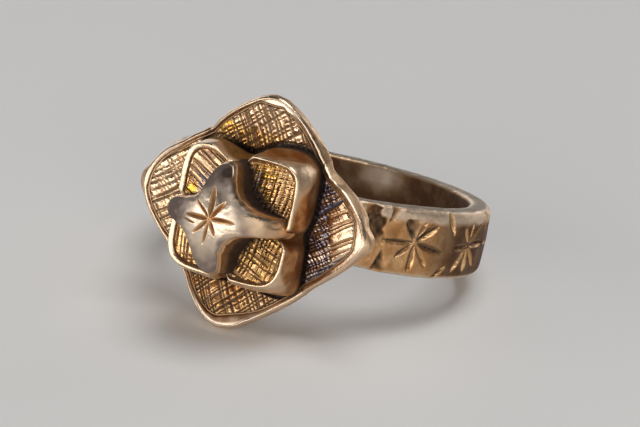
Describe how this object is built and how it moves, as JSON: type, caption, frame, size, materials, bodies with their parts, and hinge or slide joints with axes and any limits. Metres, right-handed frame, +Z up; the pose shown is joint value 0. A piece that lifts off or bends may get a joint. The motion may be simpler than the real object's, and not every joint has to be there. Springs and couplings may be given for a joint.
{
  "type": "finger ring",
  "caption": "Silver-gilt finger ring: wide flat hoop carrying a raised double-rose bezel with a domed four-armed centre.",
  "frame": {"origin": "on the surface the ring lies on, under the middle of the ring's box", "axes": "+Z up, the bezel faces -Y and tips a little upwards, +X to the side; the finger hole's axis leans back towards +Y by about 15 degrees from +Z"},
  "size_m": [0.0222, 0.0288, 0.0156],
  "materials": {
    "silver_gilt": "worn fire gilding over silver, satin, silver showing on the high places and brown tarnish in the recesses"
  },
  "bodies": {
    "root": {"ring": "silver_gilt"}
  },
  "joints": []
}
